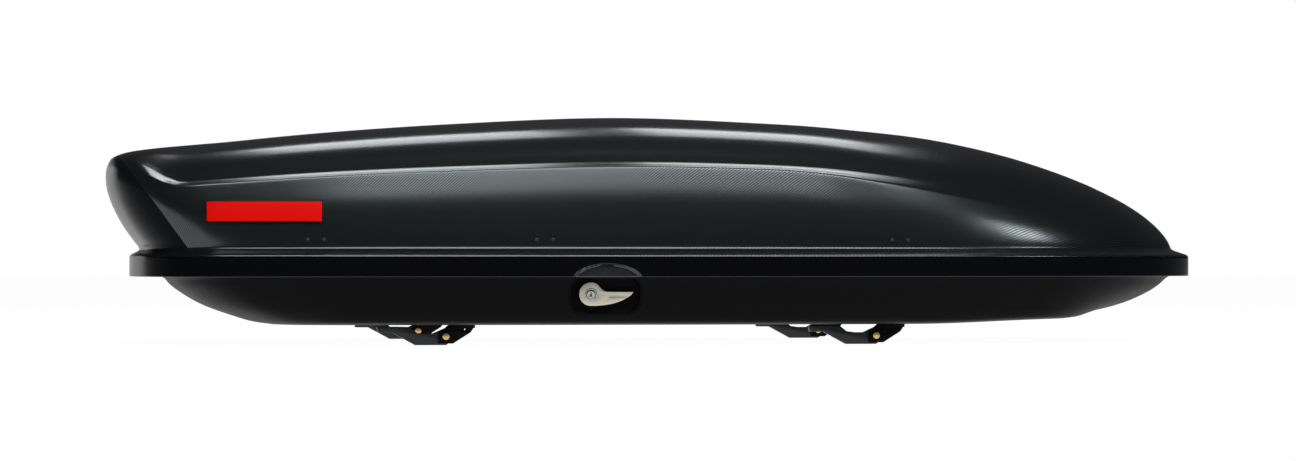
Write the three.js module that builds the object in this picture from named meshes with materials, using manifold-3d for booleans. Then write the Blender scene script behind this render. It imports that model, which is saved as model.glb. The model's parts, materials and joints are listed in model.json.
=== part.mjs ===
// Roof cargo box that opens from either side. Millimetres, +Z up, nose towards +X.
// The underside of the four bar clamps is at z = 0, and the box is mirrored about y = 0.
import * as THREE from 'three';
import { mergeVertices } from 'three/addons/utils/BufferGeometryUtils.js';
import Module from 'manifold-3d';

const wasm = await Module();
wasm.setup();

// ---------- driving sizes ----------
const FIT_GAP = 0.3;
const WALL = 3.5;

// Outer edge of the rim in plan, half of it, from the middle of the tail to the tip of the nose.
const RIM_PLAN = [
  [-986, 0], [-977, 150], [-952, 290], [-893, 378], [-790, 414], [-560, 440], [-200, 456],
  [60, 456], [330, 441], [560, 410], [750, 359], [900, 282], [990, 180], [1021, 85], [1028.5, 0],
];
const STATIONS_PER_SIDE = 26;
const SPINE_REAR = { start: -500, reach: 250 };
const SPINE_NOSE = { start: 400, reach: 300 };

// Rim of the lid.
const SKIRT_BOTTOM = 124;
const SKIRT_TOP = 163;
const FOOT_Z = 174;
const FLANGE_WIDTH = 21;
const NOSE_FLANGE_EXTRA = 12;

// Height of the lid along its middle, before the nose and the tail are rounded off.
const CREST = [
  [-1030, 339], [-825, 365], [-600, 393], [-380, 410], [-86, 422], [210, 412], [357, 401], [505, 384],
  [653, 353], [801, 310], [875, 288], [1000, 256],
];
// Rows of the lid from its foot (reach 1) to its middle (reach 0). Each gives the share of the
// crest's height on the sides, where the crease and the hollow band run, and at the tail.
const LID_ROWS = [
  { reach: 0.989, side: 0.15, tail: 0.3 },
  { reach: 0.969, side: 0.36, tail: 0.64 },
  { reach: 0.931, side: 0.604, tail: 0.86 },
  { reach: 0.885, side: 0.626, tail: 0.955 },
  { reach: 0.86, side: 0.67, tail: 0.972 },
  { reach: 0.82, side: 0.76, tail: 0.985 },
  { reach: 0.77, side: 0.845, tail: 0.992 },
  { reach: 0.7, side: 0.905, tail: 0.996 },
  { reach: 0.55, side: 0.952, tail: 1 },
  { reach: 0.3, side: 0.988, tail: 1 },
  { reach: 0, side: 1, tail: 1 },
];
const NOSE_ROUNDING = { power: 3.8, root: 2 / 3 };
const CREASE_FADE = { from: 150, to: 760 };
const TAIL_FADE = { from: -850, to: -960 };
const TAIL_OVERHANG = { reach: 81, from: -430, to: -960, power: 1.9 };

// Rows of the base from its inner rim to the floor: height, how far inside the rim's outer edge
// it lies at the sides and the nose, and how far forward of the tail end.
const BASE_ROWS = [
  { z: 136, side: 32, tail: 32, nose: 32 },
  { z: 136, side: 20, tail: 20, nose: 20 },
  { z: 130, side: 20, tail: 20, nose: 20 },
  { z: 122, side: 24, tail: 62, nose: 40 },
  { z: 108, side: 31, tail: 76, nose: 56 },
  { z: 92, side: 38, tail: 98, nose: 80 },
  { z: 72, side: 46, tail: 133, nose: 118 },
  { z: 54, side: 54, tail: 180, nose: 172 },
  { z: 41, side: 66, tail: 226, nose: 240 },
  { z: 37, side: 92, tail: 262, nose: 300 },
];
const BASE_TAIL = { from: -480, to: -960 };
const FLOOR_MIDDLE_REAR = -600;
// The base in five lengths along x; the bay holds the two levers.
const BASE_PARTS = {
  tail: [-1100, -700], rear: [-700, -216], bay: [-216, -73], front: [-73, 620], nose: [620, 1100],
};
const FLOOR_LIFT = { from: 436, to: 740, height: 8, reach: 60 };
const FLOOR_BOTTOM = 37;
const FLOOR_TOP = FLOOR_BOTTOM + WALL;
const SEAL = { outer: 22, inner: 30, top: 146 };

// The lid turns on the pins of one side and is let go on the other.
const PIN = { y: 380, z: 140, radius: 5, halfLength: 32 };
const BOW_X = { rear: -663, middle: -255, front: 396 };
const BOW = { halfWidth: 10, thickness: 9, clearance: 4.5 };
const EYE_RADIUS = 8;
const SHAFT = { y: PIN.y - 15, z: PIN.z - 28, radius: 6, rear: -700, front: 434 };
const FINGER = { from: 12, to: 19, reach: PIN.y + 6, top: PIN.z + 12 };
const CHEEK = { from: 21, to: 30 };
const HOUSING_INSET = WALL + 1.1;

// Release lever, its pocket and its crank.
const LEVER = { x: -170, z: 93, back: 406, front: 416, headRadius: 21 };
const POCKET = { x: -144.5, z: 92, halfLength: 66.5, halfHeight: 37, corner: 30, floor: 398 };
const ARCH = { x: POCKET.x, halfLength: 62, rise: 24, floor: 454.4 };
const CRANK = { reach: 26, outer: SHAFT.y + 1, thickness: 5, pinRadius: 2.5, pinEnd: SHAFT.y - 38 };
const FORK = { outer: SHAFT.y - 25, thickness: 5, halfWidth: 11, holeRadius: 7 };
const LOCK = { radius: 8, proud: 1.5 };

// Crossbar clamps.
const CLAMP_X = { rear: -455, front: 338 };
const CLAMP_Y = 300;
const RIVET = { x: 33, z: 16, radius: 4, halfLength: 17 };
const CLAW_HALF_WIDTH = 8;
const BRACKET_HALF_WIDTH = 14;
const KNOB = { x: 60, radius: 28, height: 30, studRadius: 4, studEnd: 26 };
const RAIL = { rear: -560, front: 436, halfWidth: 34, thickness: 3 };

const BADGE = { x: -753.5, length: 209, height: 41, z: 241, frame: 3 };

// ---------- materials ----------
function material(color, roughness, metalness) {
  return new THREE.MeshStandardMaterial({ color, roughness, metalness });
}

const finish = {
  weave: material(0x4c5256, 0.2, 0.1),
  black: material(0x17181a, 0.5, 0),
  soft: material(0x101010, 0.85, 0),
  steel: material(0xb4b6b8, 0.35, 0.9),
  darkSteel: material(0x26272a, 0.4, 0.7),
  lever: material(0xcfcfc4, 0.35, 0.6),
  chrome: material(0xe4e4e4, 0.12, 1),
  brass: material(0xc9a24a, 0.35, 0.9),
  red: material(0xb3121b, 0.3, 0.1),
  knob: material(0x9a1c1c, 0.45, 0),
};

// ---------- solids ----------
const box = new THREE.Group();

function add(name, geometry, look) {
  const mesh = new THREE.Mesh(geometry, look);
  mesh.name = name;
  box.add(mesh);
  return mesh;
}

function bare(geometry) {
  const copy = geometry.clone();
  copy.deleteAttribute('normal');
  copy.deleteAttribute('uv');
  return mergeVertices(copy, 1e-3);
}

function solid(geometry) {
  const merged = bare(geometry);
  const vertProperties = new Float32Array(merged.attributes.position.array);
  const triVerts = new Uint32Array(merged.index.array);
  return new wasm.Manifold(new wasm.Mesh({ numProp: 3, vertProperties, triVerts }));
}

function geometryOf(body) {
  const { vertProperties, triVerts, numProp } = body.getMesh();
  const positions = [];
  for (let i = 0; i < vertProperties.length; i += numProp) {
    positions.push(vertProperties[i], vertProperties[i + 1], vertProperties[i + 2]);
  }
  const geometry = new THREE.BufferGeometry();
  geometry.setAttribute('position', new THREE.Float32BufferAttribute(positions, 3));
  geometry.setIndex([...triVerts]);
  return geometry;
}

function joined(...geometries) {
  return geometryOf(geometries.map(solid).reduce((whole, next) => whole.add(next)));
}

function cut(geometry, ...tools) {
  return geometryOf(tools.map(solid).reduce((left, tool) => left.subtract(tool), solid(geometry)));
}

// A box from its lowest to its highest corner.
function block(low, high) {
  const size = high.map((value, i) => value - low[i]);
  const middle = high.map((value, i) => (value + low[i]) / 2);
  return new THREE.BoxGeometry(...size).translate(...middle);
}

// A round bar along the named axis, through the point given.
function bar(axis, radius, from, to, point, sides = 16) {
  const geometry = new THREE.CylinderGeometry(radius, radius, to - from, sides);
  const along = (from + to) / 2;
  if (axis === 'x') return geometry.rotateZ(-Math.PI / 2).translate(along, point[0], point[1]);
  if (axis === 'y') return geometry.translate(point[0], along, point[1]);
  return geometry.rotateX(Math.PI / 2).translate(point[0], point[1], along);
}

function outline(points) {
  return new THREE.Shape(points.map(([a, b]) => new THREE.Vector2(a, b)));
}

// An outline in (y, z) extruded along x.
function slabAlongX(shape, from, to) {
  const geometry = new THREE.ExtrudeGeometry(shape, { depth: to - from, bevelEnabled: false });
  const turn = new THREE.Matrix4().set(0, 0, 1, from, 1, 0, 0, 0, 0, 1, 0, 0, 0, 0, 0, 1);
  return geometry.applyMatrix4(turn);
}

// An outline in (x, z) extruded along y.
function slabAlongY(shape, from, to) {
  const geometry = new THREE.ExtrudeGeometry(shape, { depth: to - from, bevelEnabled: false });
  return geometry.rotateX(Math.PI / 2).translate(0, to, 0);
}

// Copies to the right side (-y) of a piece drawn on the left side (+y).
function onRight(geometry) {
  const copy = bare(geometry).scale(1, -1, 1);
  const index = copy.index.array;
  for (let i = 0; i < index.length; i += 3) [index[i], index[i + 1]] = [index[i + 1], index[i]];
  return copy;
}

function addPair(name, geometry, look) {
  add(name.replace('SIDE', 'left'), geometry, look);
  add(name.replace('SIDE', 'right'), onRight(geometry), look);
}

// ---------- the two shells ----------
function ease(from, to, value) {
  const share = THREE.MathUtils.clamp((value - from) / (to - from), 0, 1);
  return share * share * (3 - 2 * share);
}

function softLimit(x) {
  const { start: rear, reach: rearReach } = SPINE_REAR;
  const { start: nose, reach: noseReach } = SPINE_NOSE;
  if (x < rear) return rear - rearReach * Math.tanh((rear - x) / rearReach);
  if (x > nose) return nose + noseReach * Math.tanh((x - nose) / noseReach);
  return x;
}

function station(rim) {
  const spine = new THREE.Vector2(softLimit(rim.x), 0);
  const inward = spine.clone().sub(rim).normalize();
  const flange = FLANGE_WIDTH + NOSE_FLANGE_EXTRA * ease(700, 1000, rim.x);
  const foot = rim.clone().addScaledVector(inward, flange);
  const towardsNose = ease(0.15, 0.9, -inward.x);
  const towardsTail = ease(BASE_TAIL.from, BASE_TAIL.to, rim.x);
  return { rim, spine, inward, foot, towardsNose, towardsTail };
}

const halfPlan = new THREE.SplineCurve(RIM_PLAN.map(([x, y]) => new THREE.Vector2(x, y)));

function makeStations() {
  const left = halfPlan.getSpacedPoints(STATIONS_PER_SIDE);
  const right = left.slice(1, -1).reverse().map((p) => new THREE.Vector2(p.x, -p.y));
  return [...left, ...right].map(station);
}

const stations = makeStations();
const crestCurve = new THREE.SplineCurve(CREST.map(([x, z]) => new THREE.Vector2(x, z)));

function crestHeight(x) {
  let low = 0;
  let high = 1;
  for (let i = 0; i < 30; i += 1) {
    const middle = (low + high) / 2;
    if (crestCurve.getPoint(middle).x < x) low = middle;
    else high = middle;
  }
  return crestCurve.getPoint(low).y;
}

function heightShare(row, footX) {
  const { power, root } = NOSE_ROUNDING;
  const nose = (1 - row.reach ** power) ** root;
  const tail = ease(TAIL_FADE.from, TAIL_FADE.to, footX);
  const front = ease(CREASE_FADE.from, CREASE_FADE.to, footX);
  return THREE.MathUtils.lerp(THREE.MathUtils.lerp(row.side, nose, front), row.tail, tail);
}

// The tail leans back over the rim as it rises.
function overhang(x, share) {
  const { reach, from, to, power } = TAIL_OVERHANG;
  return reach * ease(from, to, x) * (1 - (1 - share) ** power);
}

function lidPoint(place, row) {
  const plan = place.spine.clone().lerp(place.foot, row.reach);
  const share = heightShare(row, place.foot.x);
  const z = FOOT_Z + (crestHeight(plan.x) - FOOT_Z) * share;
  return new THREE.Vector3(plan.x - overhang(plan.x, share), plan.y, z);
}

function insetPoint(place, inset, z) {
  const plan = place.rim.clone().addScaledVector(place.inward, inset);
  return new THREE.Vector3(plan.x, plan.y, z);
}

function floorLift(x, z) {
  const share = THREE.MathUtils.clamp(1 - (z - FLOOR_BOTTOM) / FLOOR_LIFT.reach, 0, 1);
  return FLOOR_LIFT.height * ease(FLOOR_LIFT.from, FLOOR_LIFT.to, x) * share;
}

function basePoint(place, row, drawnIn) {
  const inset = THREE.MathUtils.lerp(row.side, row.nose, place.towardsNose) + drawnIn;
  const point = insetPoint(place, inset, row.z);
  point.x += (row.tail - row.side) * place.towardsTail;
  point.z += floorLift(point.x, row.z);
  return point;
}

function floorMiddle(place) {
  const x = Math.max(place.spine.x, FLOOR_MIDDLE_REAR);
  return new THREE.Vector3(x, 0, FLOOR_BOTTOM + floorLift(x, FLOOR_BOTTOM));
}

function triangleArea(a, b, c) {
  return new THREE.Triangle(a, b, c).getArea();
}

// Two triangles for a four-cornered patch, split along the diagonal that leaves no sliver.
function splitPatch(points, [a, b, c, d]) {
  const [pa, pb, pc, pd] = [a, b, c, d].map((i) => points[i]);
  const along = Math.min(triangleArea(pa, pc, pb), triangleArea(pa, pd, pc));
  const across = Math.min(triangleArea(pa, pd, pb), triangleArea(pb, pd, pc));
  return along >= across * 0.999 ? [[a, c, b], [a, d, c]] : [[a, d, b], [b, d, c]];
}

// A surface through rings that all run the same way around the box; the last ring closes on the
// middle line.
function skin(rings, outwards) {
  const count = rings[0].length;
  const points = rings.flat();
  const faces = [];
  for (let r = 0; r + 1 < rings.length; r += 1) {
    for (let i = 0; i < count; i += 1) {
      const j = (i + 1) % count;
      faces.push(...splitPatch(points, [i, j, count + j, count + i].map((k) => r * count + k)));
    }
  }
  if (!outwards) faces.forEach((face) => face.reverse());
  const geometry = new THREE.BufferGeometry();
  const positions = points.flatMap((point) => [point.x, point.y, point.z]);
  geometry.setAttribute('position', new THREE.Float32BufferAttribute(positions, 3));
  geometry.setIndex(faces.flat());
  return withoutFlatFaces(mergeVertices(geometry, 1e-3));
}

function withoutFlatFaces(geometry) {
  const index = geometry.index.array;
  const kept = [];
  for (let i = 0; i < index.length; i += 3) {
    const [a, b, c] = [index[i], index[i + 1], index[i + 2]];
    if (a !== b && b !== c && c !== a) kept.push(a, b, c);
  }
  geometry.setIndex(kept);
  return geometry;
}

function openEdges(index) {
  const edges = new Map();
  for (let i = 0; i < index.length; i += 3) {
    for (let k = 0; k < 3; k += 1) {
      const [a, b] = [index[i + k], index[i + ((k + 1) % 3)]];
      if (edges.has(`${b} ${a}`)) edges.delete(`${b} ${a}`);
      else edges.set(`${a} ${b}`, [a, b]);
    }
  }
  return [...edges.values()];
}

// Gives an open skin a wall of even thickness on its inner side.
function thickened(surface, thickness) {
  surface.computeVertexNormals();
  const outer = surface.attributes.position;
  const normal = surface.attributes.normal;
  const count = outer.count;
  const positions = [...outer.array];
  for (let i = 0; i < count; i += 1) {
    const point = new THREE.Vector3().fromBufferAttribute(outer, i);
    point.addScaledVector(new THREE.Vector3().fromBufferAttribute(normal, i), -thickness);
    positions.push(point.x, point.y, point.z);
  }
  const outside = [...surface.index.array];
  const faces = [...outside];
  for (let i = 0; i < outside.length; i += 3) {
    faces.push(outside[i] + count, outside[i + 2] + count, outside[i + 1] + count);
  }
  for (const [a, b] of openEdges(outside)) faces.push(b, a, a + count, b, a + count, b + count);
  const geometry = new THREE.BufferGeometry();
  geometry.setAttribute('position', new THREE.Float32BufferAttribute(positions, 3));
  geometry.setIndex(faces);
  return geometry;
}

// A closed band around the box from a section given as [inset, z] points, anticlockwise seen
// with the outside to the right.
function bandAround(section) {
  const rings = section.map(([inset, z]) => stations.map((place) => insetPoint(place, inset, z)));
  return skin([...rings, rings[0]], true);
}

function lidSkin() {
  const skirtBottom = stations.map((place) => insetPoint(place, 0, SKIRT_BOTTOM));
  const skirtTop = stations.map((place) => insetPoint(place, 0, SKIRT_TOP));
  const foot = stations.map((place) => new THREE.Vector3(place.foot.x, place.foot.y, FOOT_Z));
  const rows = LID_ROWS.map((row) => stations.map((place) => lidPoint(place, row)));
  return skin([skirtBottom, skirtTop, foot, ...rows], true);
}

function baseSkin() {
  const rings = BASE_ROWS.map((row) => stations.map((place) => basePoint(place, row, 0)));
  return skin([...rings, stations.map(floorMiddle)], false);
}

// The base's outline below its rim as a filled solid, drawn in by a distance.
function filledBase(drawnIn) {
  const rows = BASE_ROWS.slice(2);
  const rings = rows.map((row) => stations.map((place) => basePoint(place, row, drawnIn)));
  const cap = stations.map((place) => new THREE.Vector3(place.spine.x, 0, PIN.z));
  const top = stations.map((place) => basePoint(place, { ...rows[0], z: PIN.z }, drawnIn));
  return solid(skin([cap, top, ...rings, stations.map(floorMiddle)], false));
}

// Cuts the arched finger recess in the skirt over each lever.
function archTool() {
  const beyond = 500;
  const shape = new THREE.Shape();
  shape.absellipse(ARCH.x, SKIRT_BOTTOM, ARCH.halfLength, ARCH.rise, 0, Math.PI * 2);
  const settings = { depth: beyond - ARCH.floor, bevelEnabled: false, curveSegments: 14 };
  return new THREE.ExtrudeGeometry(shape, settings).rotateX(Math.PI / 2).translate(0, beyond, 0);
}

function pocketShape(grow) {
  const { x, z, halfLength, halfHeight, corner } = POCKET;
  const [a, b, r] = [halfLength + grow, halfHeight + grow, corner + grow];
  const shape = new THREE.Shape();
  shape.absarc(x + a - r, z + b - r, r, 0, Math.PI / 2);
  shape.absarc(x - a + r, z + b - r, r, Math.PI / 2, Math.PI);
  shape.absarc(x - a + r, z - b + r, r, Math.PI, Math.PI * 1.5);
  shape.absarc(x + a - r, z - b + r, r, Math.PI * 1.5, Math.PI * 2);
  return shape;
}

function pocketTool(grow, from) {
  const beyond = 470;
  const settings = { depth: beyond - from, bevelEnabled: false, curveSegments: 6 };
  return new THREE.ExtrudeGeometry(pocketShape(grow), settings)
    .rotateX(Math.PI / 2).translate(0, beyond, 0);
}

function studHole(point) {
  return bar('z', KNOB.studRadius + 1.5, 30, 50, point, 12);
}

function buildShells() {
  const arch = archTool();
  const lid = thickened(lidSkin(), WALL);
  add('lid_shell', cut(lid, arch, onRight(arch)), finish.weave);

  const pocket = pocketTool(FIT_GAP, 380);
  const studs = clampPlaces().map(({ x, y }) => studHole([x + KNOB.x, y]));
  const base = solid(cut(thickened(baseSkin(), WALL), pocket, onRight(pocket), ...studs));
  for (const [name, [from, to]] of Object.entries(BASE_PARTS)) {
    const slice = solid(block([from + FIT_GAP / 2, -500, 0], [to - FIT_GAP / 2, 500, 200]));
    add(`base_${name}`, geometryOf(base.intersect(slice)), finish.black);
  }

  const top = BASE_ROWS[0].z + FIT_GAP;
  const { outer, inner } = SEAL;
  const seal = [[outer, top], [outer + 1.5, SEAL.top], [inner - 1.5, SEAL.top], [inner, top]];
  add('rim_seal', bandAround(seal), finish.soft);
}

// ---------- bows under the lid ----------
// The lid's outer half section at a place along the box, from the foot to the middle.
function lidSection(x) {
  const nearest = stations.slice(0, STATIONS_PER_SIDE + 1);
  const after = nearest.findIndex((place) => place.rim.x > x);
  const [a, b] = [nearest[after - 1], nearest[after]];
  const share = (x - a.rim.x) / (b.rim.x - a.rim.x);
  return LID_ROWS.map((row) => {
    const point = lidPoint(a, row).lerp(lidPoint(b, row), share);
    return new THREE.Vector2(point.y, point.z);
  });
}

// Moves an open line sideways, to the inner side of the lid.
function offsetLine(line, distance) {
  return line.map((point, i) => {
    const before = line[Math.max(i - 1, 0)];
    const next = line[Math.min(i + 1, line.length - 1)];
    const along = next.clone().sub(before).normalize();
    return new THREE.Vector2(point.x - along.y * distance, point.y + along.x * distance);
  });
}

// The eye at the foot of a bow, from its inner side round to its outer side.
function eyeOutline() {
  const points = [];
  for (let step = 0; step <= 6; step += 1) {
    const angle = Math.PI + (step / 6) * Math.PI;
    points.push([PIN.y + EYE_RADIUS * Math.cos(angle), PIN.z + EYE_RADIUS * Math.sin(angle)]);
  }
  return [...points, [PIN.y + EYE_RADIUS, PIN.z + 22]];
}

function buildBow(name, x) {
  const section = lidSection(x);
  const outer = offsetLine(section, WALL + BOW.clearance);
  const inner = offsetLine(section, WALL + BOW.clearance + BOW.thickness);
  outer[outer.length - 1].x = 0;
  inner[inner.length - 1].x = 0;
  const pair = (point) => [point.x, point.y];
  const half = [...inner.map(pair).reverse(), ...eyeOutline(), ...outer.map(pair)];
  const mirrored = half.slice(1, -1).reverse().map(([y, z]) => [-y, z]);
  const bow = slabAlongX(outline([...half, ...mirrored]), x - BOW.halfWidth, x + BOW.halfWidth);
  const eyes = [PIN.y, -PIN.y].map((y) => bar('x', PIN.radius + FIT_GAP, x - 20, x + 20, [y, PIN.z]));
  add(`lid_bow_${name}`, cut(bow, ...eyes), finish.darkSteel);
  const pin = bar('x', PIN.radius, x - PIN.halfLength, x + PIN.halfLength, [PIN.y, PIN.z]);
  addPair(`hinge_pin_SIDE_${name}`, pin, finish.steel);
}

// ---------- latches ----------
// Two cheeks that carry the shaft and cradle the hinge pin, on a foot, fitted to the base wall.
function buildHousing(name, x) {
  const { y, z } = SHAFT;
  const lip = PIN.y + PIN.radius + 3.5;
  const cheek = outline([
    [y - 14, z - 16], [y + 60, z - 16], [y + 60, z + 12], [lip, z + 17], [lip, PIN.z], [y + 6, PIN.z],
    [y + 4, z + 16], [y - 14, z + 8],
  ]);
  const width = CHEEK.to - CHEEK.from;
  const starts = [x - CHEEK.to, x + CHEEK.from];
  const cheeks = starts.map((start) => slabAlongX(cheek, start, start + width));
  const foot = block([x - CHEEK.to, y - 14, z - 20], [x + CHEEK.to, y + 60, z - 15.5]);
  const whole = solid(joined(...cheeks, foot)).intersect(filledBase(HOUSING_INSET));
  const shaft = bar('x', SHAFT.radius + 0.5, x - 40, x + 40, [y, z]);
  const saddle = bar('x', PIN.radius + 0.5, x - 40, x + 40, [PIN.y, PIN.z]);
  addPair(`latch_housing_SIDE_${name}`, cut(geometryOf(whole), shaft, saddle), finish.black);
}

function fingerShape() {
  const { y, z } = SHAFT;
  const inner = PIN.y - PIN.radius - 0.8;
  const roof = PIN.z + PIN.radius + 0.8;
  return outline([
    [y - 9, z - 5], [y, z - 9], [y + 9, z - 3], [y + 10, z + 8], [inner, z + 18], [inner, roof],
    [FINGER.reach, roof], [FINGER.reach + 1, FINGER.top - 3], [FINGER.reach - 6, FINGER.top],
    [inner - 6, FINGER.top], [y - 2, z + 26], [y - 8, z + 6],
  ]);
}

function forkOnShaft() {
  const x = LEVER.x - CRANK.reach;
  const arm = block([x - 4, FORK.outer - 2, SHAFT.z - 4], [x + 4, SHAFT.y, SHAFT.z + 4]);
  const low = [x - FORK.halfWidth, FORK.outer - FORK.thickness, LEVER.z - FORK.halfWidth];
  const plate = block(low, [x + FORK.halfWidth, FORK.outer, SHAFT.z + 4]);
  const hole = bar('y', FORK.holeRadius, FORK.outer - 20, FORK.outer + 20, [x, LEVER.z]);
  return cut(joined(arm, plate), hole);
}

function buildShaft() {
  const rod = bar('x', SHAFT.radius, SHAFT.rear, SHAFT.front, [SHAFT.y, SHAFT.z]);
  const fingers = Object.values(BOW_X).flatMap((x) => [
    slabAlongX(fingerShape(), x + FINGER.from, x + FINGER.to),
    slabAlongX(fingerShape(), x - FINGER.to, x - FINGER.from),
  ]);
  addPair('latch_shaft_SIDE', joined(rod, ...fingers, forkOnShaft()), finish.darkSteel);
}

// ---------- levers ----------
// Round head with a curved arm, drawn around the lever's pivot.
function leverShape() {
  const shape = new THREE.Shape();
  const r = LEVER.headRadius;
  shape.moveTo(12, 17.5);
  shape.absarc(0, 0, r, Math.atan2(17.5, 12), Math.PI * 1.5);
  shape.quadraticCurveTo(48, -r, 72, -2);
  shape.quadraticCurveTo(76.5, 2, 76, 4);
  shape.lineTo(30, 4);
  shape.quadraticCurveTo(19, 6, 12, 17.5);
  return shape;
}

function buildLever() {
  const { x, z, back, front } = LEVER;
  const settings = { depth: front - back, bevelEnabled: false, curveSegments: 10 };
  const blade = new THREE.ExtrudeGeometry(leverShape(), settings)
    .rotateX(Math.PI / 2).translate(x, front, z);
  const recess = block([x + 34, front - 2, z - 7], [x + 66, front + 2, z + 1]);
  const centre = [x, z];
  const bore = bar('y', LOCK.radius + FIT_GAP, front - 8, front + 5, centre, 24);
  const socket = bar('y', 6.5 + FIT_GAP, back - 5, back + 1.5, centre);
  addPair('release_lever_SIDE', cut(blade, recess, bore, socket), finish.lever);

  const barrel = bar('y', LOCK.radius, front - 7.5, front + LOCK.proud, centre, 24);
  const keyway = block([x - 1.2, front - 3, z - 4], [x + 1.2, front + 5, z + 4]);
  addPair('lock_cylinder_SIDE', cut(barrel, keyway), finish.chrome);

  const inner = CRANK.outer - CRANK.thickness;
  const spindle = bar('y', 6.5, inner, back + 1.2, centre);
  const web = block([x - CRANK.reach - 5, inner, z - 6], [x, CRANK.outer, z + 6]);
  const pin = bar('y', CRANK.pinRadius, CRANK.pinEnd, CRANK.outer, [x - CRANK.reach, z], 12);
  addPair('lever_crank_SIDE', joined(spindle, web, pin), finish.steel);
}

function buildCup() {
  const plug = solid(pocketTool(0, POCKET.floor)).intersect(filledBase(0));
  const spindleHole = bar('y', 7.2, 380, 420, [LEVER.x, LEVER.z]);
  const hollow = solid(pocketTool(-3, POCKET.floor + 3)).add(solid(spindleHole));
  addPair('lever_cup_SIDE', geometryOf(plug.subtract(hollow)), finish.black);
}

// ---------- clamps ----------
function clampPlaces() {
  const places = [];
  for (const [end, x] of Object.entries(CLAMP_X)) {
    places.push({ name: `right_${end}`, x, y: -CLAMP_Y }, { name: `left_${end}`, x, y: CLAMP_Y });
  }
  return places;
}

function bracketGeometry() {
  const top = FLOOR_BOTTOM - FIT_GAP;
  const cheek = outline([[40, top], [87, top], [78, 23], [46, 3], [20, 3], [20, 25], [33, top - 6]]);
  const inner = CLAW_HALF_WIDTH + 1;
  const cheeks = [
    slabAlongY(cheek, inner, BRACKET_HALF_WIDTH),
    slabAlongY(cheek, -BRACKET_HALF_WIDTH, -inner),
  ];
  const plate = block([50, -BRACKET_HALF_WIDTH, 31], [86, BRACKET_HALF_WIDTH, top]);
  const bore = bar('z', KNOB.studRadius + 0.6, 20, 50, [KNOB.x, 0]);
  const rivet = bar('y', RIVET.radius + FIT_GAP, -30, 30, [RIVET.x, RIVET.z]);
  const eyelet = bar('y', 2.2, -30, 30, [68.5, 28.5], 12);
  return cut(joined(...cheeks, plate), bore, rivet, eyelet);
}

// Hooked claw: flat underneath, dished where the crossbar lies, with a long tail to the rear.
function clawGeometry() {
  const shape = outline([
    [34, 0], [45, 8], [47, 18], [42, 27], [33, 30], [24, 27], [11, 21.5], [-18, 21.5], [-33, 33],
    [-50, 33.5], [-70, 33.5], [-92, 33.5], [-89, 22.6], [-64, 22.6], [-22, 0],
  ]);
  const rivet = bar('y', RIVET.radius + FIT_GAP, -30, 30, [RIVET.x, RIVET.z]);
  return cut(slabAlongY(shape, -CLAW_HALF_WIDTH, CLAW_HALF_WIDTH), rivet);
}

function rivetGeometry() {
  const shank = bar('y', RIVET.radius, -RIVET.halfLength, RIVET.halfLength, [RIVET.x, RIVET.z]);
  const heads = [-1, 1].map((side) => {
    const from = side * (BRACKET_HALF_WIDTH + FIT_GAP);
    const to = side * RIVET.halfLength;
    return bar('y', RIVET.radius + 2.5, Math.min(from, to), Math.max(from, to), [RIVET.x, RIVET.z]);
  });
  return joined(shank, ...heads);
}

function knobGeometry() {
  const seat = FLOOR_TOP + RAIL.thickness + 2 * FIT_GAP;
  const shape = new THREE.Shape();
  for (let i = 0; i < 36; i += 1) {
    const angle = (i / 36) * Math.PI * 2;
    const radius = KNOB.radius - 3 + 3 * Math.cos(6 * angle);
    const point = [radius * Math.cos(angle), radius * Math.sin(angle)];
    if (i === 0) shape.moveTo(...point);
    else shape.lineTo(...point);
  }
  const head = new THREE.ExtrudeGeometry(shape, { depth: KNOB.height, bevelEnabled: false });
  head.translate(KNOB.x, 0, seat);
  return joined(head, bar('z', KNOB.studRadius, KNOB.studEnd, seat + 5, [KNOB.x, 0]));
}

function buildClamps() {
  for (const { name, x, y } of clampPlaces()) {
    add(`clamp_bracket_${name}`, bracketGeometry().translate(x, y, 0), finish.black);
    add(`clamp_claw_${name}`, clawGeometry().translate(x, y, 0), finish.darkSteel);
    add(`clamp_rivet_${name}`, rivetGeometry().translate(x, y, 0), finish.brass);
    add(`clamp_knob_${name}`, knobGeometry().translate(x, y, 0), finish.knob);
  }
}

function buildRails() {
  const low = FLOOR_TOP + FIT_GAP;
  const { rear, front, halfWidth, thickness } = RAIL;
  const plate = block([rear, CLAMP_Y - halfWidth, low], [front, CLAMP_Y + halfWidth, low + thickness]);
  const holes = Object.values(CLAMP_X).map((x) => studHole([x + KNOB.x, CLAMP_Y]));
  addPair('floor_rail_SIDE', cut(plate, ...holes), finish.steel);
}

// ---------- badge ----------
// The point of the lid's left wall at a place along the plan and a height.
function wallPoint(share, z) {
  const place = station(halfPlan.getPointAt(share));
  let below = new THREE.Vector3(place.foot.x, place.foot.y, FOOT_Z);
  for (const row of LID_ROWS) {
    const above = lidPoint(place, row);
    if (above.z >= z) return below.lerp(above, (z - below.z) / (above.z - below.z));
    below = above;
  }
  return below;
}

// The same, for a place along the box.
function wallPointAt(x, z) {
  let [low, high] = [0.1, 0.9];
  for (let i = 0; i < 24; i += 1) {
    const middle = (low + high) / 2;
    if (wallPoint(middle, z).x < x) low = middle;
    else high = middle;
  }
  return wallPoint(low, z);
}

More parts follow.
